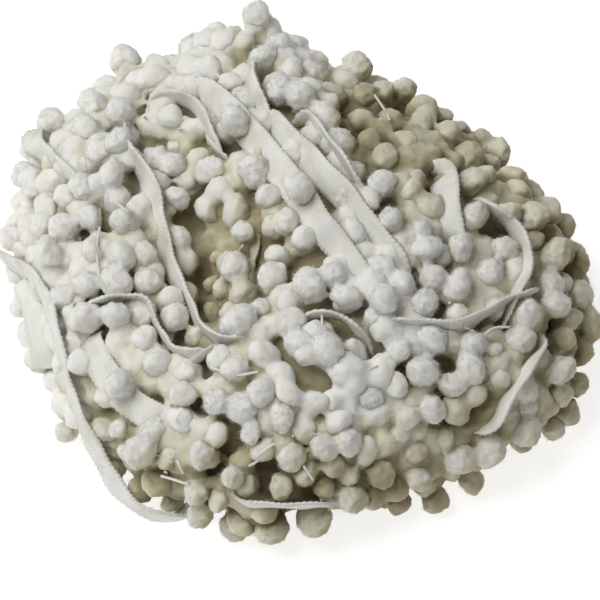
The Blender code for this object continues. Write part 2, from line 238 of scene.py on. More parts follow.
def tape_loop(name, route, replaced=(), dive=(6.0, 6.0)):
    """A tape along places of the front view. Each has a height and a turn off the front."""
    shown = [shown_at(across, up, lift) for across, up, lift, _ in route]
    # The tape bridges hollows instead of following them down.
    travel = np.array([(point - eye).length for point in shown])
    for _ in range(20):
        travel[1:-1] = np.minimum(travel[1:-1], (travel[:-2] + travel[2:]) / 2 + 0.7)
    shown = [eye + (point - eye).normalized() * reach for point, reach in zip(shown, travel)]
    line, length = smooth_curve([[*point, place[3]] for point, place in zip(shown, route)], 2.5)
    turns = line[:, 3]
    line = line[:, :3].copy()
    run = np.linspace(0, length, len(line))
    across_list = []
    for place in range(len(line)):
        outward = np.array(seat_under(line[place])[1])
        for depth, distance in zip(dive, (run[place], length - run[place])):
            line[place] -= outward * depth * max(0.0, 1 - distance / DIVE_LENGTH) ** 2
        ahead = Vector(line[min(place + 1, len(line) - 1)])
        along = (ahead - Vector(line[max(place - 1, 0)])).normalized()
        flat = (eye - Vector(line[place])).cross(along).normalized()
        across = Matrix.Rotation(math.radians(turns[place]), 3, along) @ flat
        across_list.append(across)
        clearance = abs(across.z) * TAPE_WIDTH / 2 + TAPE_THICKNESS / 2 + 0.4
        line[place][2] = max(line[place][2], clearance)
    fine, length = smooth_curve(line, 0.6)
    old, new = np.linspace(0, 1, len(line)), np.linspace(0, 1, len(fine))
    across = np.array([np.interp(new, old, [a[axis] for a in across_list]) for axis in range(3)]).T
    across /= np.linalg.norm(across, axis=1, keepdims=True)
    face = np.cross(np.gradient(fine, axis=0), across)
    face /= np.linalg.norm(face, axis=1, keepdims=True)
    run = new * length
    bead = 0.5 + 0.5 * np.cos(2 * math.pi * run / BEAD_PITCH)
    phase = len(tape_marks)
    columns = np.linspace(-0.5, 0.5, TAPE_COLUMNS)
    rings = []
    for side in (1, -1):
        for column in columns * side:
            edge = abs(column) > 0.45
            reach = column * TAPE_WIDTH + (np.sign(column) * BEAD_REACH * bead if edge else 0.0)
            out = side * (TAPE_THICKNESS / 2 + (BEAD_HEIGHT * bead if edge else 0.0))
            out = out - TAPE_CUP * (2 * column) ** 2 + TAPE_RIPPLE * np.sin(0.4 * run + 3.5 * column + phase)
            rings.append(fine + across * np.reshape(reach, (-1, 1)) + face * np.reshape(out, (-1, 1)))
    rings = np.stack(rings, axis=1)
    for ring in rings[::5]:
        near_edge, far_edge, below = ring[0], ring[TAPE_COLUMNS - 1], ring[TAPE_COLUMNS]
        tape_marks.extend((near_edge + below + (far_edge - near_edge) * side) / 2 for side in (0, 1, 2))
    verts, faces = tube(rings)
    tape = add_mesh(name, verts, faces, knit)
    spread = np.concatenate([columns, -columns]) + 0.5
    uv = np.stack(np.broadcast_arrays(run[:, None] / RIB_PITCH, spread[None]), axis=2).reshape(-1, 2)
    layer = tape.data.uv_layers.new(name="weave")
    loops = np.empty(len(tape.data.loops), np.int32)
    tape.data.loops.foreach_get("vertex_index", loops)
    layer.data.foreach_set("uv", uv[loops].ravel().astype(np.float32))
    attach(tape, "root")
    if replaced:
        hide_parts(*replaced)


def wire(nodes, links, operation, first, second=None):
    """A maths node on one or two sockets or numbers."""
    node = nodes.new("ShaderNodeMath")
    node.operation = operation
    for socket, value in zip(node.inputs, (first, second)):
        if value is None:
            continue
        if isinstance(value, (int, float)):
            socket.default_value = value
        else:
            links.new(value, socket)
    return node.outputs["Value"]


knit = bpy.data.materials.new("knitted_tape_white")
knit.use_nodes = True
nodes, links = knit.node_tree.nodes, knit.node_tree.links
shader = nodes["Principled BSDF"]
shader.inputs["Roughness"].default_value = 0.9
shader.inputs["Specular IOR Level"].default_value = 0.15
shader.inputs["Sheen Weight"].default_value = 0.15
coords = nodes.new("ShaderNodeTexCoord")
weave = nodes.new("ShaderNodeUVMap")
weave.uv_map = "weave"
split = nodes.new("ShaderNodeSeparateXYZ")
links.new(weave.outputs["UV"], split.inputs["Vector"])
ribs = wire(nodes, links, "COSINE", wire(nodes, links, "MULTIPLY", split.outputs["X"], 2 * math.pi))
chains = wire(nodes, links, "COSINE", wire(nodes, links, "MULTIPLY", split.outputs["Y"], 14 * math.pi))
rib_height = wire(nodes, links, "MULTIPLY", ribs, 0.55)
height = wire(nodes, links, "ADD", rib_height, wire(nodes, links, "MULTIPLY", chains, 0.22))
# Painted shade: the tape's colour darkens in the low parts of the rib and chain relief, the knit's holes.
hole_shade = nodes.new("ShaderNodeMapRange")
hole_shade.inputs["From Min"].default_value = -0.15
hole_shade.inputs["From Max"].default_value = -0.75
links.new(height, hole_shade.inputs["Value"])
stain = nodes.new("ShaderNodeTexNoise")
stain.inputs["Scale"].default_value = 110
stain.inputs["Detail"].default_value = 2
ramp = nodes.new("ShaderNodeValToRGB")
ramp.color_ramp.elements[0].position = 0.32
ramp.color_ramp.elements[0].color = TAPE_SHADE
ramp.color_ramp.elements[1].position = 0.55
ramp.color_ramp.elements[1].color = TAPE_LIGHT
open_work_shade = nodes.new("ShaderNodeMix")
open_work_shade.data_type = "RGBA"
open_work_shade.blend_type = "MULTIPLY"
open_work_shade.inputs["B"].default_value = TAPE_HOLE_SHADE
yarn = nodes.new("ShaderNodeTexNoise")
yarn.inputs["Scale"].default_value = 2200
relief = nodes.new("ShaderNodeBump")
relief.inputs["Strength"].default_value = 0.35
relief.inputs["Distance"].default_value = 0.00015
bump_height = wire(nodes, links, "ADD", height, wire(nodes, links, "MULTIPLY", yarn.outputs["Fac"], 1.2))
links.new(coords.outputs["Object"], stain.inputs["Vector"])
links.new(coords.outputs["Object"], yarn.inputs["Vector"])
links.new(stain.outputs["Fac"], ramp.inputs["Fac"])
links.new(hole_shade.outputs["Result"], open_work_shade.inputs["Factor"])
links.new(ramp.outputs["Color"], open_work_shade.inputs["A"])
links.new(open_work_shade.outputs["Result"], shader.inputs["Base Color"])
links.new(bump_height, relief.inputs["Height"])
links.new(relief.outputs["Normal"], shader.inputs["Normal"])

tape_loop(
    "left_edge_loop",
    [(-99, 13, 11, 66), (-91, 8.5, 11, 70), (-85, 0, 11, 72), (-81, -14, 11, 77), (-78, -27, 11, 79),
     (-73.5, -40, 11, 76), (-67.5, -52, 11, 66), (-61, -63, 11, 62), (-53, -70.5, 11, 70), (-44, -73, 11, 76),
     (-33, -73, 11, 78)],
    ["tape_left_edge"], dive=(0, 0),
)
tape_loop(
    "left_hanging_fold",
    [(-91.5, 7, 8, 20), (-88, -2, 8, 10), (-85.5, -12, 8, 5), (-84, -23, 8, 0)],
    ["tape_left_fold"], dive=(0, 0),
)
tape_loop(
    "south_west_band",
    [(-73, -9, 6, 30), (-69.5, -17, 8, 25), (-64, -26, 8.5, 20), (-57, -34, 8.5, 20), (-48, -39.5, 8, 20),
     (-42, -41, 5, 20)],
    ["tape_south_west"],
)
tape_loop(
    "hollow_band",
    [(-59, 58, 8, 82), (-57.3, 50, 9.5, 80), (-53.3, 43.3, 9.5, 66), (-50.5, 37, 9.5, 52), (-48.5, 28, 9, 54),
     (-46, 18, 8.5, 57), (-43, 9, 8.5, 62), (-38, 0.5, 8.5, 76), (-34.5, -7, 8.5, 82), (-29, -12.5, 8.5, 83),
     (-22.5, -13.3, 8.5, 83), (-16, -12, 8, 82), (-10, -12, 4, 80)],
    ["tape_hollow"],
)
tape_loop(
    "hollow_strand",
    [(-69, -3, 6, 80), (-66.5, -0.7, 9, 82), (-59, 0.5, 10, 82), (-52, -0.7, 10, 82), (-49, -7, 10, 82),
     (-45, -13.5, 9.5, 78), (-40, -18, 9.5, 70), (-33, -19, 9.5, 62), (-27, -17.5, 9.5, 70), (-20, -14.5, 9, 76),
     (-12, -12, 5, 80)],
)
tape_loop(
    "west_thread",
    [(-90, 57, 7, 60), (-87, 51, 9, 62), (-82.5, 46.5, 9.5, 66), (-77, 41.5, 9, 72), (-73, 37, 5, 76)],
)

# Bare tape over the crown: broad bands that sweep from the top left down across the middle,
# nearly flat where the last turns cross.
tape_loop(
    "north_west_band",
    [(-62, 68, 5, 50), (-57, 72.5, 8, 48), (-50, 75.5, 8.5, 48), (-42, 78.5, 8, 50), (-36, 80, 4, 50)],
    ["tape_north_west"],
)
tape_loop(
    "hollow_rim_band",
    [(-51, 64, 5, 72), (-46, 67, 8.5, 72), (-39, 66.5, 9, 72), (-34.5, 63.5, 9, 72), (-31, 57, 9, 73),
     (-27.5, 49, 8, 76), (-23, 42, 5, 78)],
    ["tape_hollow_rim"],
)
tape_loop(
    "crown_sweep",
    [(-36, 71, 6, 30), (-31.5, 69, 9, 26), (-25, 64, 9.5, 22), (-18.5, 57, 9.5, 20), (-11.5, 49, 9.5, 18),
     (-5, 41, 9.5, 16), (1, 33, 9.5, 18), (6, 25.5, 9.5, 22), (12, 18.5, 9, 28), (17.5, 11, 8.5, 34),
     (21.5, 4, 7, 40), (24, -3, 3, 45)],
    ["tape_crown_west", "tape_south_slope"],
)
tape_loop(
    "crown_band",
    [(-11, 61, 4, 38), (-6, 55, 8, 34), (1, 48.5, 9, 30), (8, 41, 9, 30), (14, 34, 9, 30),
     (20, 27, 8.5, 34), (26, 20, 8, 40), (32, 13, 6, 48), (36, 7, 3, 55)],
    ["tape_crown", "tape_east_slope"],
)
tape_loop(
    "crown_east_band",
    [(2, 62, 4, 74), (7, 55.5, 9, 76), (12.5, 48.5, 9.5, 78), (17.5, 41, 9, 78), (22, 34, 4, 78)],
    ["tape_crown_east"],
)
tape_loop(
    "north_strip",
    [(-19.5, 83, 5, 60), (-18.5, 78, 8.5, 58), (-16.5, 71, 9, 58), (-13.5, 64, 8, 60), (-10.5, 58, 4, 62)],
)

# Bare tape on the right of the heap, which climbs out of the valley, loops round the
# outermost pompoms and crosses below them.
tape_loop(
    "east_upright_band",
    [(47, 45, 4, 35), (48, 39, 8, 28), (48.5, 31, 9, 25), (50, 23, 8, 30), (52, 16, 4, 40)],
    ["tape_east_upright"],
)
tape_loop(
    "east_edge_loop",
    [(58, 31, 5, 74), (63, 30, 9, 70), (69, 26, 9.5, 64), (73.5, 19.5, 9.5, 62), (75, 12, 9.5, 64),
     (72.5, 5, 9.5, 72), (70, -1, 8, 80), (68, -6, 4, 82)],
    ["tape_east_loop"],
)
tape_loop(
    "east_level_band",
    [(26, -8, 4, 76), (33, -7.3, 9, 79), (41, -8.3, 9.5, 79), (49, -9, 9.5, 70), (56, -8.5, 9.5, 66),
     (62, -5, 9.5, 76), (68, -1.5, 9.5, 80), (74, 1, 8, 81), (78, 2, 4, 82)],
    ["tape_east_level"],
)
tape_loop(
    "east_strand",
    [(81, -14, 5, 76), (77.5, -19, 9, 72), (73, -26, 9.5, 70), (68, -34, 9.5, 70), (65, -40, 9, 74),
     (60, -45, 6, 78)],
)
tape_loop(
    "middle_arc",
    [(1, -6, 5, 80), (8, -5, 9.5, 82), (14, -6.5, 10, 80), (18.5, -10, 9.5, 78), (21.5, -14, 5, 78)],
)
tape_loop(
    "front_thread",
    [(-24, -67, 6, 80), (-17, -68.5, 9, 83), (-9, -69, 9.5, 83), (0, -69, 9.5, 83), (8, -69, 8, 83),
     (14, -68, 5, 83)],
)

# Pompoms of the west flank: tufts of soft cut pile, about 10 mm across, each drawn in to a
# short stem that is knitted into the heading strip. Where they press together, they felt.
POMPOM_RADIUS = 4.8
POMPOM_SPACING = 7.7
POMPOM_SEAT = 5.5
POMPOM_GIRTH_LEAST = (1.0, 0.93, 0.98)
POMPOM_GIRTH_MOST = (1.26, 1.0, 1.16)
SETTLE_ROUNDS = 90
FELT_VOXEL = 0.82
FELT_LUMPS = (1.9, 2.4)
STRIP_WIDTH = 4.4
STRIP_THICKNESS = 1.2
STRIP_BREAK = 24
STEM_RADIUS = 0.8
# The pile's colours by tone: its own white at the top, then the cream, olive and olive-brown of painted shade.
PILE_DEEP_SHADE = (0.27, 0.225, 0.14, 1.0)
PILE_SHADE = (0.46, 0.425, 0.275, 1.0)
PILE_CREAM_SHADE = (0.72, 0.70, 0.57, 1.0)
PILE_LIGHT = (0.85, 0.845, 0.81, 1.0)
rng = np.random.default_rng(11)


def tufts(count):
    """Differently grown pompoms of unit radius: barrels and eggs of pile with soft clumps."""
    grown = []
    for shape in range(count):
        bpy.ops.object.select_all(action="DESELECT")
        bpy.ops.mesh.primitive_ico_sphere_add(subdivisions=4, radius=1.0)
        tuft = bpy.context.object
        bpy.ops.object.mode_set(mode="EDIT")
        bpy.ops.mesh.select_all(action="SELECT")
        bpy.ops.transform.rotate(value=0.7 * shape, orient_axis="X", center_override=(0, 0, 0))
        bpy.ops.transform.rotate(value=1.3 * shape, orient_axis="Z", center_override=(0, 0, 0))
        bpy.ops.object.mode_set(mode="OBJECT")
        barrel = tuft.modifiers.new("barrel", "CAST")
        barrel.cast_type = "CYLINDER"
        barrel.factor = 0.08 + 0.05 * (shape % 4)
        bpy.ops.object.modifier_apply(modifier=barrel.name)
        swell = bpy.data.textures.new("pile_swell", "CLOUDS")
        swell.noise_basis = "IMPROVED_PERLIN"
        swell.noise_scale = 0.95
        puff = tuft.modifiers.new("swell", "DISPLACE")
        puff.texture = swell
        puff.strength = 0.6
        bpy.ops.object.modifier_apply(modifier=puff.name)
        co = np.empty(len(tuft.data.vertices) * 3, np.float32)
        tuft.data.vertices.foreach_get("co", co)
        tri = np.empty(len(tuft.data.polygons) * 3, np.int32)
        tuft.data.polygons.foreach_get("vertices", tri)
        bpy.data.objects.remove(tuft, do_unlink=True)
        co = co.reshape(-1, 3) @ np.diag([1, 1, 0.95 + 0.08 * (shape % 4)])
        co *= 1.0 / np.linalg.norm(co, axis=1).mean()
        grown.append((co, tri.reshape(-1, 3)))
    return grown


tuft_shapes = tufts(10)
heap_spots, heap_sizes, heap_tones = [], [], []


def settle(homes, sizes, lifts):
    """Pompom centres that show near their homes and clear the tapes and earlier pompoms."""
    spots = np.array([shown_at(*home, lift) for home, lift in zip(homes, lifts)])
    sizes = np.array(sizes)
    fixed, fixed_sizes = np.array(heap_spots), np.array(heap_sizes)
    tape = np.array(tape_marks)
    rays = spots - np.array(eye)
    rays /= np.linalg.norm(rays, axis=1, keepdims=True)
    start = spots.copy()
    reach = [max(13.0, surface.find_nearest(Vector(spot))[3] + 2) for spot in spots]
    for _ in range(SETTLE_ROUNDS):
        push = np.zeros_like(spots)
        for others, other_sizes, share in ((spots, sizes, 0.5), (fixed, fixed_sizes, 1.0)):
            if len(others) == 0:
                continue
            gap = spots[:, None] - others[None]
            distance = np.linalg.norm(gap, axis=2) + 1e-6
            if share == 0.5:
                distance += np.eye(len(spots)) * 1e6
            need = (sizes[:, None] + other_sizes[None]) / 2 * POMPOM_SPACING
            short = np.clip(need - distance, 0, None)
            push += (gap / distance[..., None] * short[..., None]).sum(axis=1) * share * 0.7
        gap = spots[:, None] - tape[None]
        distance = np.linalg.norm(gap, axis=2) + 1e-6
        short = np.clip(sizes[:, None] * 4.0 + 1.2 - distance, 0, None)
        push += (gap / distance[..., None] * short[..., None]).max(axis=1) * 0.4
        push += (gap / distance[..., None] * short[..., None]).min(axis=1) * 0.4
        along = (push * rays).sum(axis=1, keepdims=True) * rays
        spots += along + (push - along) * 0.3
        home = start - spots
        home -= (home * rays).sum(axis=1, keepdims=True) * rays
        spots += home * 0.3
        for place, spot in enumerate(spots):
            base, outward = seat_under(spot)
            height = (Vector(spot) - base).dot(outward)
            wanted = min(max(height, POMPOM_SEAT * sizes[place]), reach[place])
            spots[place] = spot + np.array(outward) * (wanted - height)
            spots[place][2] = max(spots[place][2], 4.3 * sizes[place] + 0.3)
    return spots


def pompoms_on(spots, sizes):
    """Vertices and triangles of pompoms that stand out from the heap, each its own way."""
    verts, faces, offset = [], [], 0
    for spot, size in zip(spots, sizes):
        co, tri = tuft_shapes[int(rng.integers(len(tuft_shapes)))]
        axis = (seat_under(spot)[1] + Vector(rng.normal(0, 0.35, 3).tolist())).normalized()
        turned = axis.to_track_quat("Z", "Y").to_matrix() @ Matrix.Rotation(rng.uniform(0, 6.28), 3, "Z")
        girth = size * POMPOM_RADIUS * rng.uniform(0.9, 1.03, 3)
        girth = girth * rng.uniform(POMPOM_GIRTH_LEAST, POMPOM_GIRTH_MOST)
        verts.append((co * girth) @ np.array(turned).T + np.array(spot))
        faces.append(tri + offset)
        offset += len(co)
    return np.concatenate(verts), np.concatenate(faces)


def strip_under(spots):
    """Vertices and faces of the heading strip and stems that carry a row of pompoms."""
    parts = []
    seats = [seat_under(spot) for spot in spots]
    foot = [base + outward * min(2.2, (Vector(spot) - base).length * 0.4)
            for (base, outward), spot in zip(seats, spots)]
    groups, row = [], [0]
    for place in range(1, len(spots)):
        if (foot[place] - foot[place - 1]).length > STRIP_BREAK:
            groups.append(row)
            row = []
        row.append(place)
    groups.append(row)
    for row in groups:
        ends = [foot[place] for place in row]
        if len(row) == 1:
            reach = seats[row[0]][1].orthogonal().normalized() * 2.2
            ends = [ends[0] - reach, ends[0] + reach]
        line, _ = smooth_curve(ends, 2.5)
        rings = []
        for place in range(len(line)):
            ahead = Vector(line[min(place + 1, len(line) - 1)])
            along = (ahead - Vector(line[max(place - 1, 0)])).normalized()
            across = along.cross(seat_under(line[place])[1]).normalized()
            outward = across.cross(along)
            middle = Vector(line[place])
            middle.z = max(middle.z, 3.0)
            rings.append([middle + across * side * STRIP_WIDTH / 2 + outward * rise * STRIP_THICKNESS / 2
                          for side, rise in ((-1, 1), (0, 1.3), (1, 1), (1, -1), (0, -0.7), (-1, -1))])
        parts.append(tube(np.array(rings)))
    for (base, outward), root, spot in zip(seats, foot, spots):
        axis = (Vector(spot) - root).normalized()
        side = axis.orthogonal().normalized()
        ring = [Matrix.Rotation(turn * math.pi / 3, 3, axis) @ side for turn in range(6)]
        rings = [[root + r * STEM_RADIUS * wide + axis * along for r in ring]
                 for along, wide in ((0.2, 1.3), (1.2, 0.9), ((Vector(spot) - root).length - 2.0, 1.4))]
        parts.append(tube(np.array(rings)))
    return parts


def felted(piece, voxel, rounds, lump_depth, lump_size):
    """Draws the piece's parts into one soft skin, with the pile's fine lumps over it."""
    bpy.ops.object.select_all(action="DESELECT")
    piece.select_set(True)
    bpy.context.view_layer.objects.active = piece
    skin = piece.modifiers.new("skin", "REMESH")
    skin.mode = "VOXEL"
    skin.voxel_size = voxel * MM
    bpy.ops.object.modifier_apply(modifier=skin.name)
    soften = piece.modifiers.new("soften", "SMOOTH")
    soften.factor = 0.5
    soften.iterations = rounds
    bpy.ops.object.modifier_apply(modifier=soften.name)
    lumps = bpy.data.textures.new("pile_lumps", "CLOUDS")
    lumps.noise_basis = "IMPROVED_PERLIN"
    lumps.noise_scale = lump_size * MM
    lumps.noise_depth = 1
    rough = piece.modifiers.new("lumps", "DISPLACE")
    rough.texture = lumps
    rough.strength = lump_depth * MM
    rough.mid_level = 0.5
    bpy.ops.object.modifier_apply(modifier=rough.name)
    settle_down = piece.modifiers.new("settle_down", "SMOOTH")
    settle_down.iterations = 1
    bpy.ops.object.modifier_apply(modifier=settle_down.name)
    piece.data.shade_smooth()


def fringe(name, rows, replaced):
    """A piece of fringe: rows of pompoms on their heading strips, in place over the heap.

    Each pompom has its place in the front view, and may have a size, a tone and a height.
    A low tone paints shade on a pompom that lies in shade; the tone also sets the height when none is given.
    """
    homes, sizes, tones, lifts, ends = [], [], [], [], []
    for row in rows.values():
        for across, up, *rest in row:
            size, tone, lift = [*rest, *(1.0, 0.95, None)[len(rest):]]
            homes.append((across, up))
            sizes.append(size)
            tones.append(tone)
            lifts.append(lift or 5.5 + 3.4 * tone)
        ends.append(len(homes))
    spots = settle(homes, sizes, lifts)
    verts, faces = pompoms_on(spots, sizes)
    parts = [(verts, faces.tolist())]
    for first, end in zip([0, *ends], ends):
        parts.extend(strip_under(spots[first:end]))
    heap_spots.extend(spots.tolist())
    heap_sizes.extend(sizes)
    heap_tones.extend(tones)
    piece = add_mesh(name, *joined(parts), pile)
    felted(piece, FELT_VOXEL, 4, *FELT_LUMPS)
    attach(piece, "root")
    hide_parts(*replaced)


pile = bpy.data.materials.new("cut_pile")
pile.use_nodes = True
nodes, links = pile.node_tree.nodes, pile.node_tree.links
shader = nodes["Principled BSDF"]
shader.inputs["Roughness"].default_value = 1.0
shader.inputs["Specular IOR Level"].default_value = 0.05
shader.inputs["Sheen Weight"].default_value = 0.2
shader.inputs["Sheen Roughness"].default_value = 0.6
shader.inputs["Subsurface Weight"].default_value = 0.6
shader.inputs["Subsurface Radius"].default_value = (1.0, 0.95, 0.85)
shader.inputs["Subsurface Scale"].default_value = 0.003
coords = nodes.new("ShaderNodeTexCoord")
tone = nodes.new("ShaderNodeAttribute")
tone.attribute_name = "tone"
drift = nodes.new("ShaderNodeTexNoise")
drift.inputs["Scale"].default_value = 240
drift.inputs["Detail"].default_value = 3
mottled = wire(nodes, links, "MULTIPLY", wire(nodes, links, "SUBTRACT", drift.outputs["Fac"], 0.5), 0.28)
# The tone attribute picks the colour, from the pile's white down through the painted shade colours.
shade = nodes.new("ShaderNodeValToRGB")
shade.color_ramp.elements[0].position = 0.05
shade.color_ramp.elements[0].color = PILE_DEEP_SHADE
shade.color_ramp.elements[1].position = 0.9
shade.color_ramp.elements[1].color = PILE_LIGHT
shade.color_ramp.elements.new(0.33).color = PILE_SHADE
shade.color_ramp.elements.new(0.62).color = PILE_CREAM_SHADE
fibres = nodes.new("ShaderNodeTexNoise")
fibres.inputs["Scale"].default_value = 900
fibres.inputs["Detail"].default_value = 5
relief = nodes.new("ShaderNodeBump")
relief.inputs["Strength"].default_value = 0.45
relief.inputs["Distance"].default_value = 0.0006
links.new(coords.outputs["Object"], drift.inputs["Vector"])
links.new(wire(nodes, links, "ADD", tone.outputs["Fac"], mottled), shade.inputs["Fac"])
links.new(shade.outputs["Color"], shader.inputs["Base Color"])
links.new(coords.outputs["Object"], fibres.inputs["Vector"])
links.new(fibres.outputs["Fac"], relief.inputs["Height"])
links.new(relief.outputs["Normal"], shader.inputs["Normal"])

west_rows = {
    "west_rim": [(-91, 41, 1.1), (-88, 50.5, 1.05), (-83, 59.5, 1.05), (-68, 64, 1.1), (-58.5, 80, 1.15)],
    "west_edge": [(-95.5, 20.5, 1.1), (-85.5, 25), (-84, 16), (-84, 6), (-79, 1), (-78.5, -8)],
    "west_outer": [(-89, 39), (-84, 31), (-79, 24), (-77, 14), (-72, 5), (-71.5, -6, 1.05)],
    "west_inner": [(-77.5, 46), (-71.5, 37.5), (-70, 27.5, 0.9), (-69, 16, 0.9)],
    "west_crest": [(-71, 57), (-67, 49), (-63, 42), (-61, 33), (-58.5, 26), (-59.5, 14.5, 1.05),
                   (-61.5, 5.5), (-61.5, -5)],
}
fringe("west_fringe", west_rows, ["run_" + row for row in west_rows])

# Pompoms along the north rim and the tuft that stands highest at the back.
north_rows = {
    "north_tuft": [(-34, 83, 1.35), (-22.5, 87, 0.9), (-14.5, 94.7), (-10, 90), (-7.5, 84),
                   (-12, 81), (-5, 77), (-7, 70)],
    "north_crest": [(-32, 76), (-26, 70.5), (-18, 66.5), (-21, 60)],
    "crown_rim": [(0, 68), (-5, 58)],
    "north_east_rim": [(4, 75, 1, 0.6), (19, 77.5), (34, 69, 1.1), (41, 61, 1.05), (51.7, 55, 1, 0.6),
                       (60.5, 54, 0.7, 0.6), (64.5, 48.5, 1.1)],
    "north_east_shade": [(10, 68, 1, 0.3), (22, 67, 1, 0.3), (26, 68), (7.5, 59.5, 1.15), (13, 51.5)],
}
fringe("north_fringe", north_rows, ["run_" + row for row in north_rows])

# Pompoms round the hollow on the left of the crown, the deeper ones with low tones that paint shade on them.
hollow_rows = {
    "hollow_north": [(-60, 63, 1.1), (-60, 53), (-48.5, 47, 0.95), (-42.5, 45), (-41.7, 50.5, 0.6),
                     (-41, 34, 0.9), (-32.3, 26.7, 1.05)],
    "hollow_east": [(-32.3, 52.3), (-30, 43)],
    "hollow_west": [(-52.3, 14.5, 1, 0.6), (-50.7, 5.7, 1.05), (-54.3, -4.3, 1.1, 0.6), (-41.7, -5.7),
                    (-47.3, -20.7, 1.05), (-39, -31.4, 0.9, 0.7)],
    "hollow_rim": [(-19, 22.7, 0.85), (-21.3, 10.7, 1.1), (-19, 2, 1, 0.3), (-20.3, -7.3, 1.2),
                   (-12.7, -2.3, 0.7)],
    "hollow_floor": [(-27, 14, 0.7, 0.4, 5), (-29, 5, 0.7, 0.4, 5), (-29, -4, 0.7, 0.4, 5),
                     (-35, -12, 0.8, 0.4, 5)],
}
fringe("hollow_fringe", hollow_rows, ["run_" + row for row in hollow_rows])

# Pompoms on the crown and down the middle of the front slope.
middle_rows = {
    "middle": [(0, 37, 1.05, 1, 13), (6, 33.5, 0.9, 1, 13), (-15, 43, 1.05), (-10.7, 34.7, 0.9),
               (-9.3, 24, 0.8, 0.6), (-4, 26, 1, 0.6), (7.7, 15.7, 1.1), (11, 8.3, 0.95), (3, 4.3, 1.2),
               (-9.3, 7.3, 1.05)],
    "middle_link": [(15, 0.7, 1.05), (15.7, 32.3, 1.05, 0.6), (22.7, 33.3, 0.9, 0.6)],
    "middle_west": [(-12.7, -12, 0.9, 0.4), (-2.7, -7.3, 1.1)],
    "middle_east": [(26, 10, 1.1, 0.5), (33.3, 5.3), (28, 0), (25.3, -6.7, 1.05), (24, -15), (33, -17)],
    "middle_south": [(0, -15, 1, 0.6), (9.3, -17.3, 1.25), (18.3, -16.7, 0.9), (2.9, -22.9),
                     (-3.6, -29.5, 1.05), (-13.3, -31), (-21.4, -22.9)],
}
fringe("middle_fringe", middle_rows, ["run_" + row for row in middle_rows])

# Pompoms of the east flank, out to the rim that hangs over the floor on the right.
east_rows = {
    "east_rim": [(65.7, 33), (76.7, 27.5, 1.05), (84, 14.3, 1.2), (92.7, 12.5, 0.9, 0.4), (92, 2, 1, 0.8),
                 (96.5, -8.3, 1.05, 0.4), (94, -17.3, 1, 0.5), (92, -28, 1, 0.35)],
    "east_crest": [(40.7, 51.7), (47.5, 42.5), (57, 39, 1.1), (58, 28), (56, 47, 1, 0.6)],
    "east_mass": [(27.3, 38.3), (33, 36.5, 1, 0.6), (30, 26), (40, 22.7, 0.9), (42.3, 16.7),
                  (44.7, 7.3, 0.95), (53.5, 17.5, 0.9, 0.6)],
    "east_hollow": [(68, 16.7, 0.9), (63.3, 9.3, 1.2), (52, 4.3, 1.05), (64.3, -2.7, 0.85)],
    "east_outer": [(83.3, 5.3), (85, -1.7), (76, -5, 1.05), (73.3, -13.3, 1.1)],
    "east_flank": [(92, 6, 0.9, 0.3), (89, -6, 0.9, 0.4), (88, -13, 0.9, 0.4)],
    "east_foot": [(86.1, -23.3, 1.15), (86.7, -31.7, 0.9, 0.6), (84.4, -42.8, 0.8, 0.8)],
}
fringe("east_fringe", east_rows, ["run_" + row for row in east_rows])

# Pompoms of the south-east flank, which run down to the floor at the front right.
south_east_rows = {
    "south_east_rim": [(88.3, -37.2, 1, 0.45), (75, -43.9, 1.15), (63.3, -50, 1.15), (53, -53, 1.15),
                       (38.9, -59.2), (28, -63, 1, 0.4), (17.1, -65.7, 1.1)],
    "south_east_foot": [(56.9, -60, 0.9, 0.6), (45, -66.7, 1, 0.4), (32.8, -67.2, 0.9, 0.35)],
    "south_east_mass": [(57.3, -15), (57.2, -22.8, 1.1), (51.1, -28.3, 0.9), (43.9, -36.1, 1.05)],
    "south_east_inner": [(41.3, -1, 1.05), (43.3, -13.3, 1.2), (41.1, -23.9), (35.6, -38.9, 0.9, 0.5),
                         (33.3, -43.9, 0.9, 0.5)],
    "south_east_low": [(65, -16.7, 0.6, 0.7), (74.4, -29.4, 0.95), (74.8, -35, 0.95)],
    "south_east_slope": [(26.7, -57.6, 1, 0.5), (38, -50, 0.9, 0.35), (48, -46, 0.9, 0.35)],
    "south_roll_east": [(9.8, -32.9, 1.2), (23.8, -32.4, 1.05), (23.8, -40, 0.85), (27.9, -47.1, 0.95),
                        (16, -47.1, 1.05), (7.6, -49, 1.1), (-3.3, -52.4, 1.1)],
    "south_middle": [(11, -67.6, 0.5), (8, -62, 0.9, 0.3)],
}
fringe("south_east_fringe", south_east_rows, ["run_" + row for row in south_east_rows])

# Pompoms of the south-west flank and the row that hangs in front, down to the floor.
south_west_rows = {
    "south_front": [(4.3, -72.9, 1.2, 0.8), (-9.5, -76.4, 1.1), (-21.9, -75.5, 0.95), (-33.1, -71)],
    "south_west": [(-34.3, -63.6), (-42.1, -66.2, 0.9), (-53, -63, 1, 0.5), (-62, -56.4, 0.85, 0.5),
                   (-65.5, -50.5, 0.8, 0.6), (-65, -43, 0.85, 0.6)],
    "south_west_low": [(-78, -44, 0.85, 0.8)],
    "south_west_mass": [(-59.3, -16.7, 1.05), (-60, -28), (-54.7, -29, 1, 0.6), (-48.1, -43.8, 1.05),
                        (-53, -50.5, 1.2), (-60, -43.8, 0.75)],
    "south_roll_west": [(-27.7, -33.8, 0.95), (-30, -43.3, 1.15), (-32.1, -51.4, 1.05), (-22.4, -59, 0.9),
                        (-15.2, -65.7, 0.9), (-6.2, -62.1, 0.9)],
    "south_roll": [(-18.1, -35.2, 1.2), (-16.2, -43.8, 0.85), (-6.2, -39, 1, 0.7)],
}
fringe("south_west_fringe", south_west_rows, ["run_" + row for row in south_west_rows])

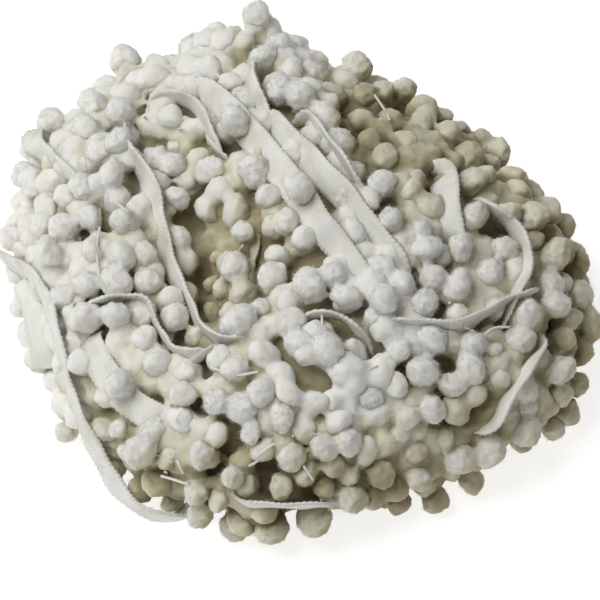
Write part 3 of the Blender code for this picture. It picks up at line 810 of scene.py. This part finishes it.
# Stems and stitching yarn pulled loose by the tangling: thin white cotton threads that cross
# the gaps, and short ends that stand out where a tape has frayed.
STEMS = [
    [(-15, -52.7), (-11.7, -50), (-8.3, -47.7)], [(19, 76), (19.3, 73), (20, 70.5)],
    [(-19, 18.3), (-19.7, 17.3), (-20.7, 15)], [(7.3, -4), (7.4, -10), (7.3, -15)],
    [(-9.7, -48.7), (-13.7, -53.3), (-17, -55.3)], [(-2.3, -45.3), (1.7, -44.3), (5, -44.7)],
    [(-46.3, -58.7), (-41.7, -60), (-36.7, -62.3)], [(-45, -57.3), (-40.7, -59.3), (-37.7, -60.7)],
    [(-72.3, 3.3), (-75.7, -1.7), (-76, -8.3), (-73.3, -15)], [(-66.7, 24.3), (-67.7, 16.7), (-66.7, 6.7)],
    [(25, 68.3), (28.3, 63.3), (30, 60)], [(1.7, -55.3), (3, -57.7), (4.3, -60)],
    [(-43.7, -49), (-41, -53), (-39, -57.7)], [(-43.3, -34.7), (-41.7, -38), (-41, -41)],
    [(-62, 33), (-56, 28), (-53, 22)], [(-30, -22), (-22, -25), (-14, -24)], [(12, -23), (19, -24), (26, -22)],
    [(38, -3), (44, -4), (50, -1)], [(60, -13), (64, -10), (70, -9)], [(-52, 61), (-45, 59), (-40, 57)],
]
FRAYED = [(55, -8.5, 16), (50, -10, 10), (28.3, 61.3, 8), (-49.3, 22.7, 10), (-38.3, -1, 10),
          (15, -22, 14), (-42.7, -52.7, 10), (-41, -39.5, 12), (-86, 51, 8), (24, -5, 10)]
YARN_HEIGHT = 11.5
STEM_YARN_RADIUS = 0.45
FRAYED_YARN_RADIUS = 0.11


def thread(points, radius):
    """Vertices and faces of a round thread through points."""
    rings = []
    for place in range(len(points)):
        ahead = Vector(points[min(place + 1, len(points) - 1)])
        along = (ahead - Vector(points[max(place - 1, 0)])).normalized()
        side = along.cross(Vector((0.3, 0.2, 0.93))).normalized()
        rings.append([Vector(points[place]) + Matrix.Rotation(turn * math.pi / 3, 3, along) @ side * radius
                      for turn in range(6)])
    return tube(np.array(rings))


threads = []
for stem in STEMS:
    shown = [shown_at(*place, YARN_HEIGHT) for place in stem]
    threads.append(thread(smooth_curve(shown, 0.8)[0], STEM_YARN_RADIUS))
for across, up, count in FRAYED:
    for _ in range(count):
        start = shown_at(across + rng.normal(0, 1.3), up + rng.normal(0, 1.0), YARN_HEIGHT)
        out = Vector(rng.normal(0, 1, 3).tolist()) - sight
        middle = start + out * 0.45
        end = middle + out * 0.3 + Vector(rng.normal(0, 0.7, 3).tolist())
        threads.append(thread(smooth_curve([start, middle, end], 0.5)[0], FRAYED_YARN_RADIUS))
loose = add_mesh("loose_yarn", *joined(threads), knit)
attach(loose, "root")

# Pompoms on the back of the heap, spread between the tapes and the pompoms that come round
# from the front, plainer than the ones there.
REAR_POMPOM_SIZE = 1.04
REAR_FELT_VOXEL = 0.95
TAPE_CLEARANCE_SQUARED = 26


def free_places(wanted, height, apart, choose):
    """Places over the inner turns, at a height, that no pompom or tape holds yet."""
    found = []
    taken = [Vector(spot) for spot in heap_spots]
    tape = np.array(tape_marks)
    for _ in range(wanted * 60):
        if len(found) >= wanted:
            break
        angle = rng.uniform(0, 2 * math.pi)
        radius = 98 * math.sqrt(rng.uniform(0, 1))
        toward = Vector((radius * math.cos(angle), radius * math.sin(angle), rng.uniform(3, 62)))
        base, normal, _, _ = surface.find_nearest(toward)
        if normal.z < -0.4 or base.z < 0.5 or not choose(base, normal):
            continue
        spot = base + normal * height
        spot.z = max(spot.z, 4.6)
        near = np.array(taken) - np.array(spot)
        if len(near) and np.min((near * near).sum(axis=1)) < apart * apart:
            continue
        gap = tape - np.array(spot)
        if np.min((gap * gap).sum(axis=1)) < TAPE_CLEARANCE_SQUARED:
            continue
        taken.append(spot)
        found.append(spot)
    heap_spots.extend([list(spot) for spot in found])
    heap_sizes.extend([1.0] * len(found))
    heap_tones.extend(rng.uniform(0.75, 0.95, len(found)))
    return found


rear_spots = free_places(190, 8.5, 8.5, lambda base, normal: normal.dot(sight) > -0.12)
verts, faces = pompoms_on(rear_spots, [REAR_POMPOM_SIZE] * len(rear_spots))
rear = add_mesh("rear_fringe", verts, faces.tolist(), pile)
felted(rear, REAR_FELT_VOXEL, 4, *FELT_LUMPS)
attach(rear, "root")
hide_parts("run_rear_foot", "run_rear_low", "run_rear_high", "run_rear_slope")

# Pompoms of the turns below, of the same cut pile, sunk between the outer ones and half
# hidden by them.
UNDER_FELT_VOXEL = 1.15
below = []
for wanted, height in ((45, 7.2), (65, 6.0)):
    below += free_places(wanted, height, 7.4, lambda base, normal: normal.dot(sight) <= -0.12)
verts, faces = pompoms_on(below, rng.uniform(0.85, 1.1, len(below)))
under = add_mesh("under_fringe", verts, faces.tolist(), pile)
felted(under, UNDER_FELT_VOXEL, 4, *FELT_LUMPS)
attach(under, "root")

# The inner turns of the heap: earlier turns of the same fringe, pressed together under the
# outer runs into one soft mass, which sinks where the heap opens. Its olive and brown there are painted shade.
# Places of the front view where the heap opens or is packed full: across, up, reach and depth. A depth over 0
# sinks the lumps and paints shade there; below 0 it raises them and paints light.
OPENINGS = [
    (-36, 46, 6, 0.9), (-18, 32, 7, 0.9), (-24, 58, 4, 0.9), (-18, 53, 4, 0.9), (-12, 47, 4, 0.9),
    (-6, 41, 3.5, 0.8), (16, -10, 26, -0.95), (6, -26, 10, -0.9), (-75, 10, 24, -0.25),
    (-60, 42, 16, -0.5), (-62, -34, 15, 0.5), (-28, 20, 28, 0.45), (-30, 8, 12, 0.8),
    (-27, -3, 8, 0.85), (-10, -1, 5, 0.5), (23, 55, 9, 0.85), (32, 62, 7, 0.7), (14, 62, 6, 0.7),
    (42, 37, 6, 0.9), (82, 22, 6, 0.9), (91, 12, 6, 0.9), (83, -12, 6, 0.8), (57, -39, 9, 0.6),
    (-47, -60, 8, 0.75), (79, -52, 8, 0.9), (12.5, -11, 3.5, 0.9), (2, -47, 4, 0.9), (-26, -52, 5, 0.7),
    (95, -20, 8, 0.8), (30, -66, 10, 0.7), (-5, -70, 8, 0.8), (10, -57, 5, 0.6), (-40, 4, 6, 0.6),
    (-20, 68, 4, 0.5), (50, 12, 4, 0.5), (36, -29, 5, 0.4), (-58, -50, 4, 0.4),
]
INNER_LUMPS = 620
INNER_FELT_VOXEL = 1.4
COLLAR_DEPTH = 2.3
COLLAR_RADIUS = 4.2


def on_chart(points):
    """The places of points in the front view."""
    away = points - np.array(eye)
    scale = VIEW_DISTANCE / (away @ np.array(sight))
    return np.stack([away[:, 0] * scale, (away @ np.array(chart_up)) * scale], axis=1)


def opened(points):
    """How far the heap opens at each point, from 0 to 1, and below 0 where it is packed full."""
    chart = on_chart(points)
    deepest = np.zeros(len(points))
    raised = np.zeros(len(points))
    for across, up, reach, depth in OPENINGS:
        share = np.clip(1.35 - np.linalg.norm(chart - (across, up), axis=1) / reach, 0, 1)
        deepest = np.maximum(deepest, depth * share)
        raised = np.minimum(raised, depth * share)
    return deepest + raised


bpy.ops.object.select_all(action="DESELECT")
inner = bpy.data.objects.new("inner_turns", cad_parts["wound_core"].data.copy())
bpy.context.scene.collection.objects.link(inner)
inner.data.materials.clear()
bm = bmesh.new()
bm.from_mesh(inner.data)
bmesh.ops.remove_doubles(bm, verts=bm.verts, dist=0.00001)
lump_count = 0
while lump_count < INNER_LUMPS:
    toward = Vector((*rng.uniform(-95, 95, 2), rng.uniform(3, 62)))
    base, normal, _, _ = surface.find_nearest(toward)
    if normal.z < -0.3 or base.z < 2 or (Vector(toward) - base).length > 40:
        continue
    sunk = opened(np.array([base + normal * 6]))[0]
    spot = base + normal * (rng.uniform(3.0, 5.4) - 6.0 * sunk)
    spot.z = max(spot.z, 5.2)
    lump_count += 1
    girth = rng.uniform(3.8, 5.6) * MM
    bmesh.ops.create_icosphere(bm, subdivisions=2, radius=girth, matrix=Matrix.Translation(spot * MM))
for spot, size in zip(heap_spots, heap_sizes):
    collar = Vector(spot) - seat_under(spot)[1] * COLLAR_DEPTH * size
    collar.z = max(collar.z, 4.6)
    girth = size * COLLAR_RADIUS * MM
    bmesh.ops.create_icosphere(bm, subdivisions=2, radius=girth, matrix=Matrix.Translation(collar * MM))
bm.to_mesh(inner.data)
bm.free()
inner.data.materials.append(pile)
felted(inner, INNER_FELT_VOXEL, 5, 3.2, 3.2)
for vert in inner.data.vertices:
    vert.co.z = max(vert.co.z, 0.0)
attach(inner, "root")
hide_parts("wound_core")

# The nap of the whole heap, with loose fibre ends standing out of it. Its tone paints shade on the
# pile: white where the pile stands free, cream and then olive where pompoms crowd it.
CROWDING_REACH = 20
FIBRE_RADIUS = 0.07
FIBRE_ROOT = 0.25
FIBRE_LEAST, FIBRE_MOST = 0.6, 1.7
centres, radii = np.array(heap_spots), np.array(heap_sizes) * POMPOM_RADIUS
# The way that the pompoms' sides with painted shade face, away from the key light.
lee = np.array([0.74, -0.40, -0.54])


def crowding(points, facing):
    """How much of the open side of each point the pompoms near it fill, and the nearest."""
    filled, nearest = np.zeros(len(points)), np.zeros(len(points), int)
    order = np.argsort(points[:, 0])
    for start in range(0, len(points), 1500):
        part = order[start:start + 1500]
        here, ways = points[part].astype(np.float32), facing[part].astype(np.float32)
        low, high = here.min(axis=0) - CROWDING_REACH, here.max(axis=0) + CROWDING_REACH
        near = np.flatnonzero(((centres > low) & (centres < high)).all(axis=1))
        some = centres[near].astype(np.float32)
        distance = np.sqrt(np.maximum(
            (here**2).sum(axis=1)[:, None] + (some**2).sum(axis=1)[None] - 2 * here @ some.T, 1e-4))
        toward = (ways @ some.T - (ways * here).sum(axis=1)[:, None]) / distance
        share = np.clip((toward + 0.3) / 1.3, 0, 1) * np.clip(radii[near][None] / distance, 0, 1) ** 2
        filled[part] = np.where(distance < CROWDING_REACH, share, 0).sum(axis=1)
        nearest[part] = near[distance.argmin(axis=1)]
    return filled, nearest


def nap(piece, ends, own=True):
    """Gives a piece its tone, which paints shade and some light on it, and its loose fibre ends, each a fine
    closed spike.
    """
    mesh = piece.data
    count = len(mesh.vertices)
    co, facing = np.empty(count * 3, np.float32), np.empty(count * 3, np.float32)
    mesh.vertices.foreach_get("co", co)
    mesh.vertices.foreach_get("normal", facing)
    co, facing = co.reshape(-1, 3).astype(float) * 1000, facing.reshape(-1, 3).astype(float)
    co[:, 2] = np.maximum(co[:, 2], 0.0)
    filled, nearest = crowding(co, facing)
    height, under, behind = np.empty(count), np.empty(count), np.empty(count)
    for place, point in enumerate(co):
        base, outward = seat_under(point)
        height[place] = (Vector(point) - base).length
        under[place] = -outward.dot(Vector(facing[place]))
        behind[place] = 0.5 * outward.y - 0.866 * outward.z
    if own:
        # Painted shade on the pompoms: darker with a low listed tone, where neighbours crowd them and on
        # undersides turned to the inner turns.
        filled += np.clip(under + 0.3, 0, 1.3) * np.clip(1.4 - height / 12, 0, 1)
        values = (0.62 + 0.38 * np.array(heap_tones)[nearest]) * np.clip(1.18 - 0.5 * filled, 0.12, 1.0)
    else:
        # Painted shade on the inner turns: darker where pompoms crowd them and deeper down towards the wound
        # core.
        values = np.clip(0.88 - 0.38 * filled, 0.1, 0.85) * np.clip(0.25 + height / 9.0, 0, 1)
    # Painted shade where the heap opens, painted light where it is packed full.
    values *= 1 - 0.75 * opened(co) * np.clip(1.6 - height / 9, 0.15, 1)
    values = np.clip(values, 0, 1)
    # Painted shade: the pile is darkened to the lower right, along the north-east rim and near the floor,
    # held at a middle painted shade where the heap turns to the back, and darkened further on sides facing the
    # lee.
    chart = on_chart(co)
    side = np.clip((chart @ (0.8, -0.6) - 36) / 50, 0, 1)
    north_east = np.clip((chart @ (0.5, 0.85) - 44) / 18, 0, 1)
    north_east = north_east * np.clip((chart[:, 0] - 4) / 22, 0, 1)
    low = np.clip((-40 - chart[:, 1]) / 20, 0, 1)
    shaded = np.maximum.reduce([1.5 * north_east, 1.2 * low, 0.85 * side])
    behind = np.clip((behind - 0.1) / 0.35, 0, 1)
    shaded = shaded * (1 - behind) + 0.3 * behind
    turned_away = np.clip(facing @ lee + 0.12, 0, 1)
    values = values ** (1 + 1.1 * shaded) * (1 - 0.2 * shaded) * (1 - shaded * 0.62 * turned_away)
    # The fibre ends grow where the pile is open, more of them the whiter it is.
    chance = np.clip(values - 0.2, 0, 1) * (co[:, 2] > 1.5)
    roots = rng.choice(count, ends, p=chance / chance.sum())
    outward = facing[roots] + rng.normal(0, 0.5, (ends, 3))
    outward /= np.linalg.norm(outward, axis=1, keepdims=True)
    side = np.cross(outward, rng.normal(0, 1, (ends, 3)))
    side /= np.linalg.norm(side, axis=1, keepdims=True)
    other = np.cross(outward, side)
    start = co[roots] + rng.normal(0, 0.25, (ends, 3))
    corners = [start + outward * rng.uniform(FIBRE_LEAST, FIBRE_MOST, (ends, 1))]
    for turn in (0, 2.094, 4.189):
        around = side * math.cos(turn) + other * math.sin(turn)
        corners.append(start - outward * FIBRE_ROOT + around * FIBRE_RADIUS)
    spikes = np.stack(corners, axis=1).reshape(-1, 3)
    quads = np.empty(len(mesh.loops), np.int32)
    mesh.loops.foreach_get("vertex_index", quads)
    faces = quads.reshape(-1, 4).tolist()
    first = count + 4 * np.arange(ends)[:, None, None]
    spike_faces = np.array([[0, 1, 2], [0, 2, 3], [0, 3, 1], [1, 3, 2]])[None] + first
    faces += spike_faces.reshape(-1, 3).tolist()
    grown = add_mesh(piece.name + "_nap", np.concatenate([co, spikes]), faces, mesh.materials[0])
    piece.data = grown.data
    bpy.data.objects.remove(grown)
    # The fibre ends take their roots' tone, painted shade included, a little lighter.
    fibre_tones = np.repeat(np.clip(values[roots] * 1.04, 0, 1), 4)
    tones = np.concatenate([values, fibre_tones]).astype(np.float32)
    piece.data.attributes.new("tone", "FLOAT", "POINT").data.foreach_set("value", tones)


for piece, ends in (
    ("west_fringe", 10000), ("north_fringe", 9000), ("hollow_fringe", 6000), ("middle_fringe", 9000),
    ("east_fringe", 9000), ("south_east_fringe", 10000), ("south_west_fringe", 9000), ("rear_fringe", 3000),
    ("under_fringe", 2500), ("inner_turns", 4000),
):
    nap(bpy.data.objects[piece], ends, piece != "inner_turns")

size = {"cad": [list(corner) for corner in cad_box], "visual": [list(corner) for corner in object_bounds()]}
